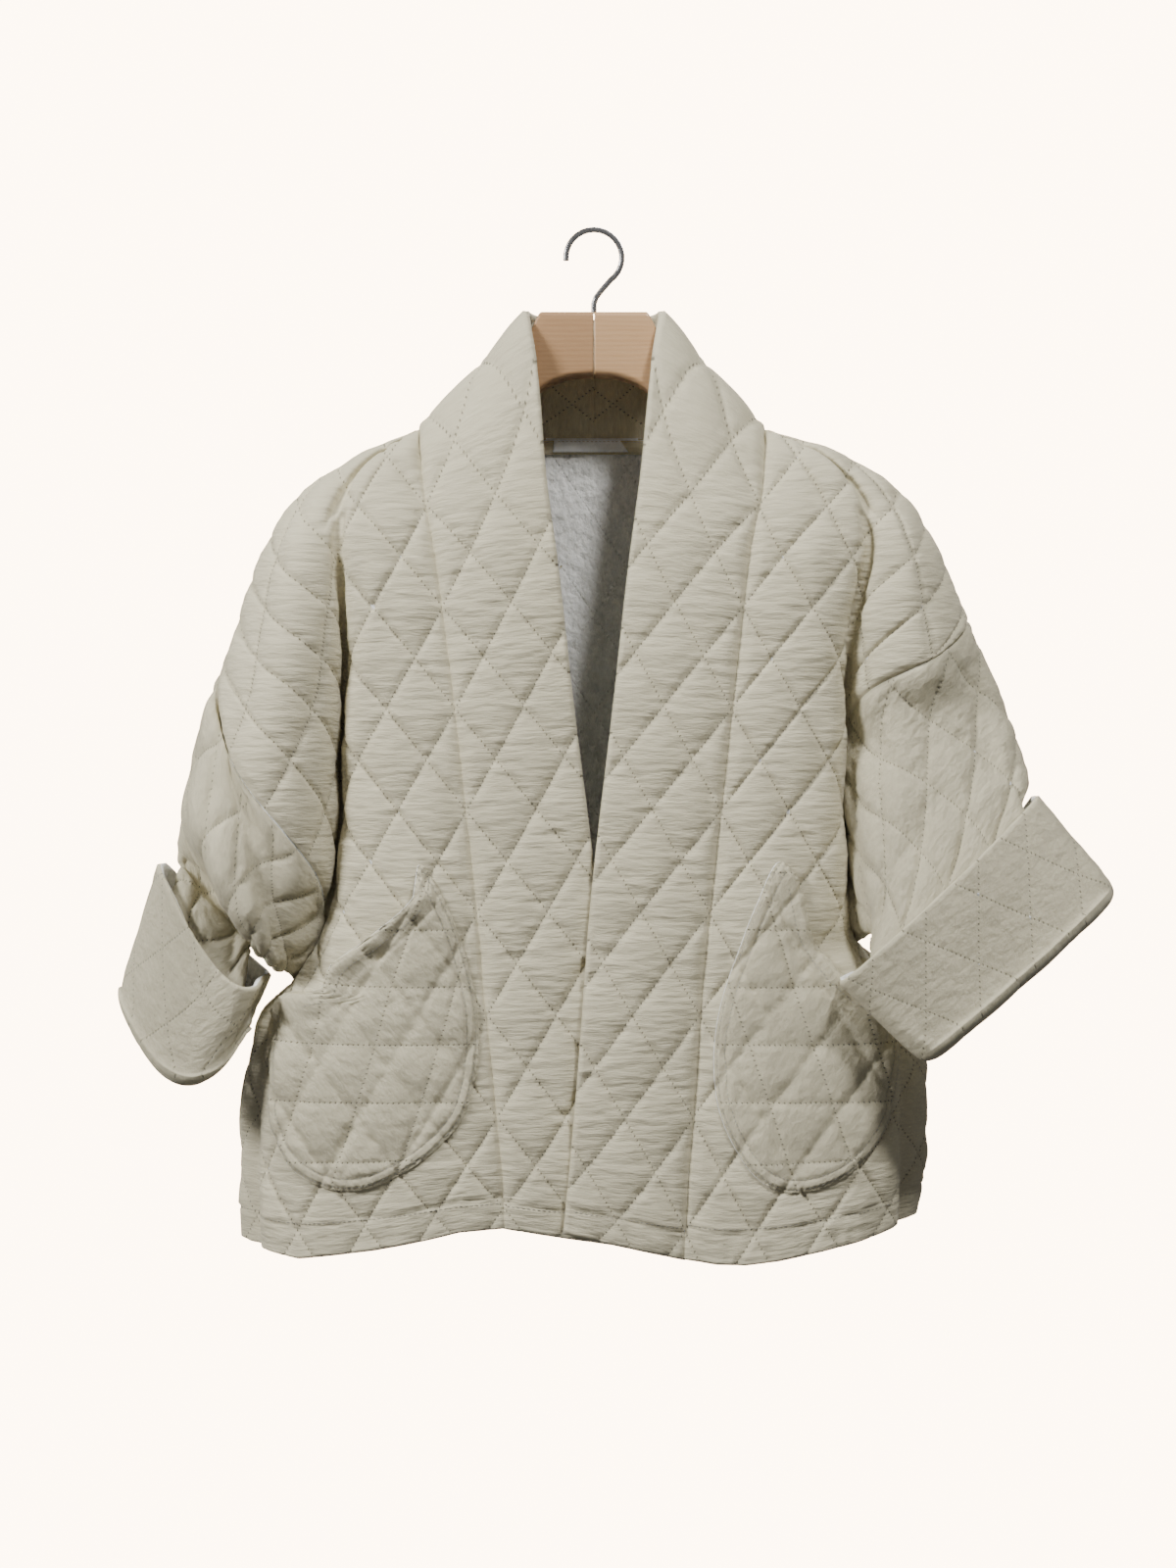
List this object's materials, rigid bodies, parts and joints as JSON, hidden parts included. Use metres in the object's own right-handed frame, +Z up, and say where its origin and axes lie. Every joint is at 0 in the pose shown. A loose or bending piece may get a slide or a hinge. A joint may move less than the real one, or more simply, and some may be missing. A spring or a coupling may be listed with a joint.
{
  "type": "quilted kimono jacket on a wooden hanger",
  "caption": "Short quilted kimono jacket with a deep collar band, teardrop pockets and turned-up cuffs, hanging open at the neck on a wooden hanger with a steel hook.",
  "frame": {"origin": "inside top of the hanger's hook, where it hangs on a rail", "axes": "+Z up, -Y towards the front of the jacket, +X towards the wearer's left"},
  "size_m": [0.688, 0.1452, 0.73],
  "materials": {
    "quilted_cotton": "matt",
    "quilted_twill": "matt",
    "neck_cotton": "matt",
    "white_satin": "satin",
    "beech": "waxed",
    "hook_steel": "bright"
  },
  "bodies": {
    "root": {"back": "quilted_cotton", "front_left": "quilted_cotton", "front_right": "quilted_cotton", "band_left": "quilted_cotton", "band_right": "quilted_cotton", "sleeve_left": "quilted_twill", "sleeve_right": "quilted_twill", "pocket_left": "quilted_twill", "pocket_right": "quilted_twill", "neck_tape": "neck_cotton", "neck_label": "white_satin", "hanger_arm_left": "beech", "hanger_arm_right": "beech", "hanger_hook": "hook_steel"}
  },
  "joints": []
}
